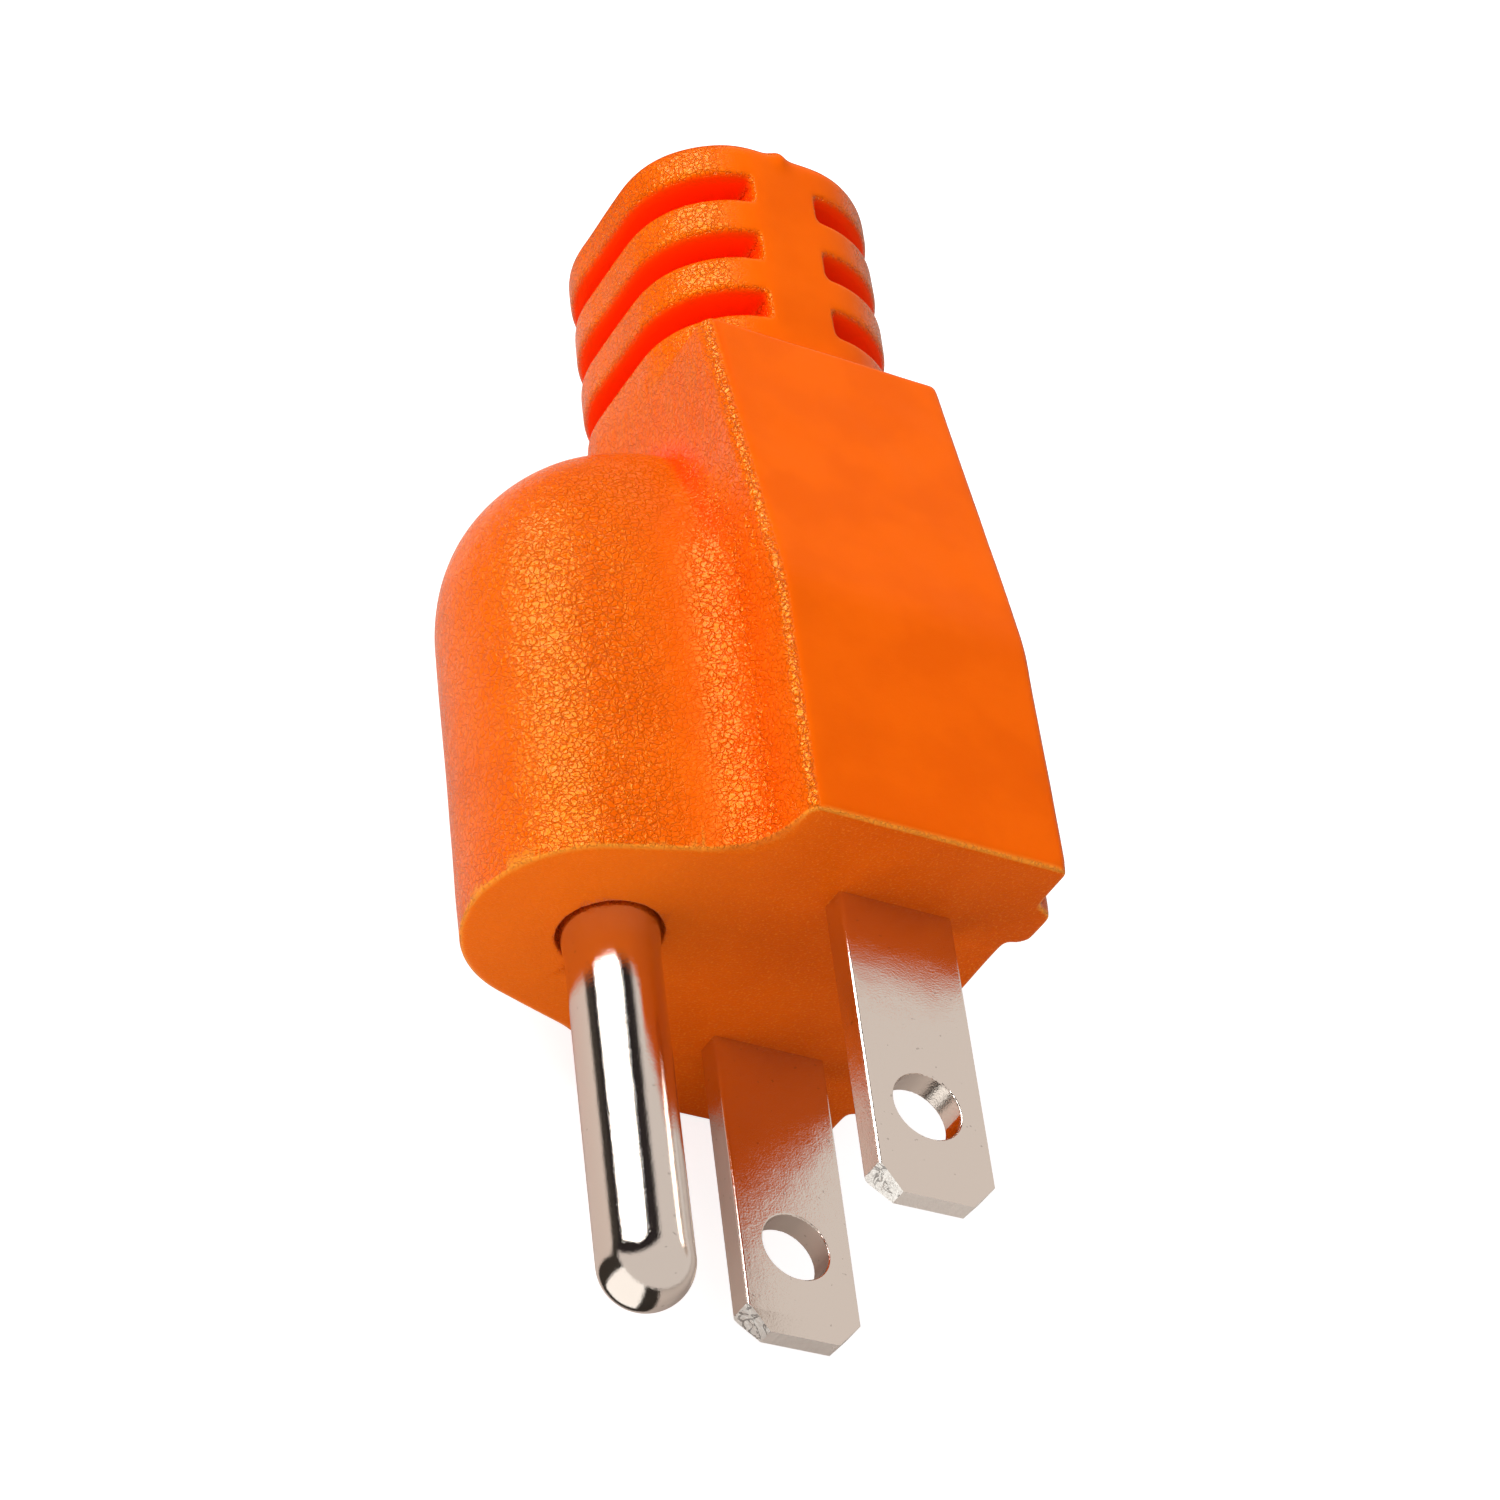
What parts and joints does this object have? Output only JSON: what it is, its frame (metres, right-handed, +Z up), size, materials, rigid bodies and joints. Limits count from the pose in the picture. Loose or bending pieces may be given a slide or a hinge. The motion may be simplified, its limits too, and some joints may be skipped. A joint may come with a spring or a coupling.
{
  "type": "bonding plug",
  "caption": "Cordless grounding plug that joins the neutral blade to the ground pin when put in a generator receptacle.",
  "frame": {"origin": "On the prong face of the body, midway between the two blades.", "axes": "+Y runs from the prong face to the cord end, +X runs from the ground pin to the blades, +Z is up, from the neutral blade to the line blade; the plug lies on a flat side."},
  "size_m": [0.0273, 0.0732, 0.0248],
  "materials": {
    "body": "satin orange PVC, pebbled on the round side",
    "bridge": "ivory nylon",
    "pin": "polished nickel plate",
    "blades": "satin nickel plate",
    "conductor": "bare copper",
    "sleeve": "white PVC"
  },
  "bodies": {
    "root": {"moulded_body": "body", "prong_bridge": "bridge", "ground_pin": "pin", "neutral_blade": "blades", "line_blade": "blades", "bonding_wire": "conductor", "wire_insulation": "sleeve"}
  },
  "joints": []
}
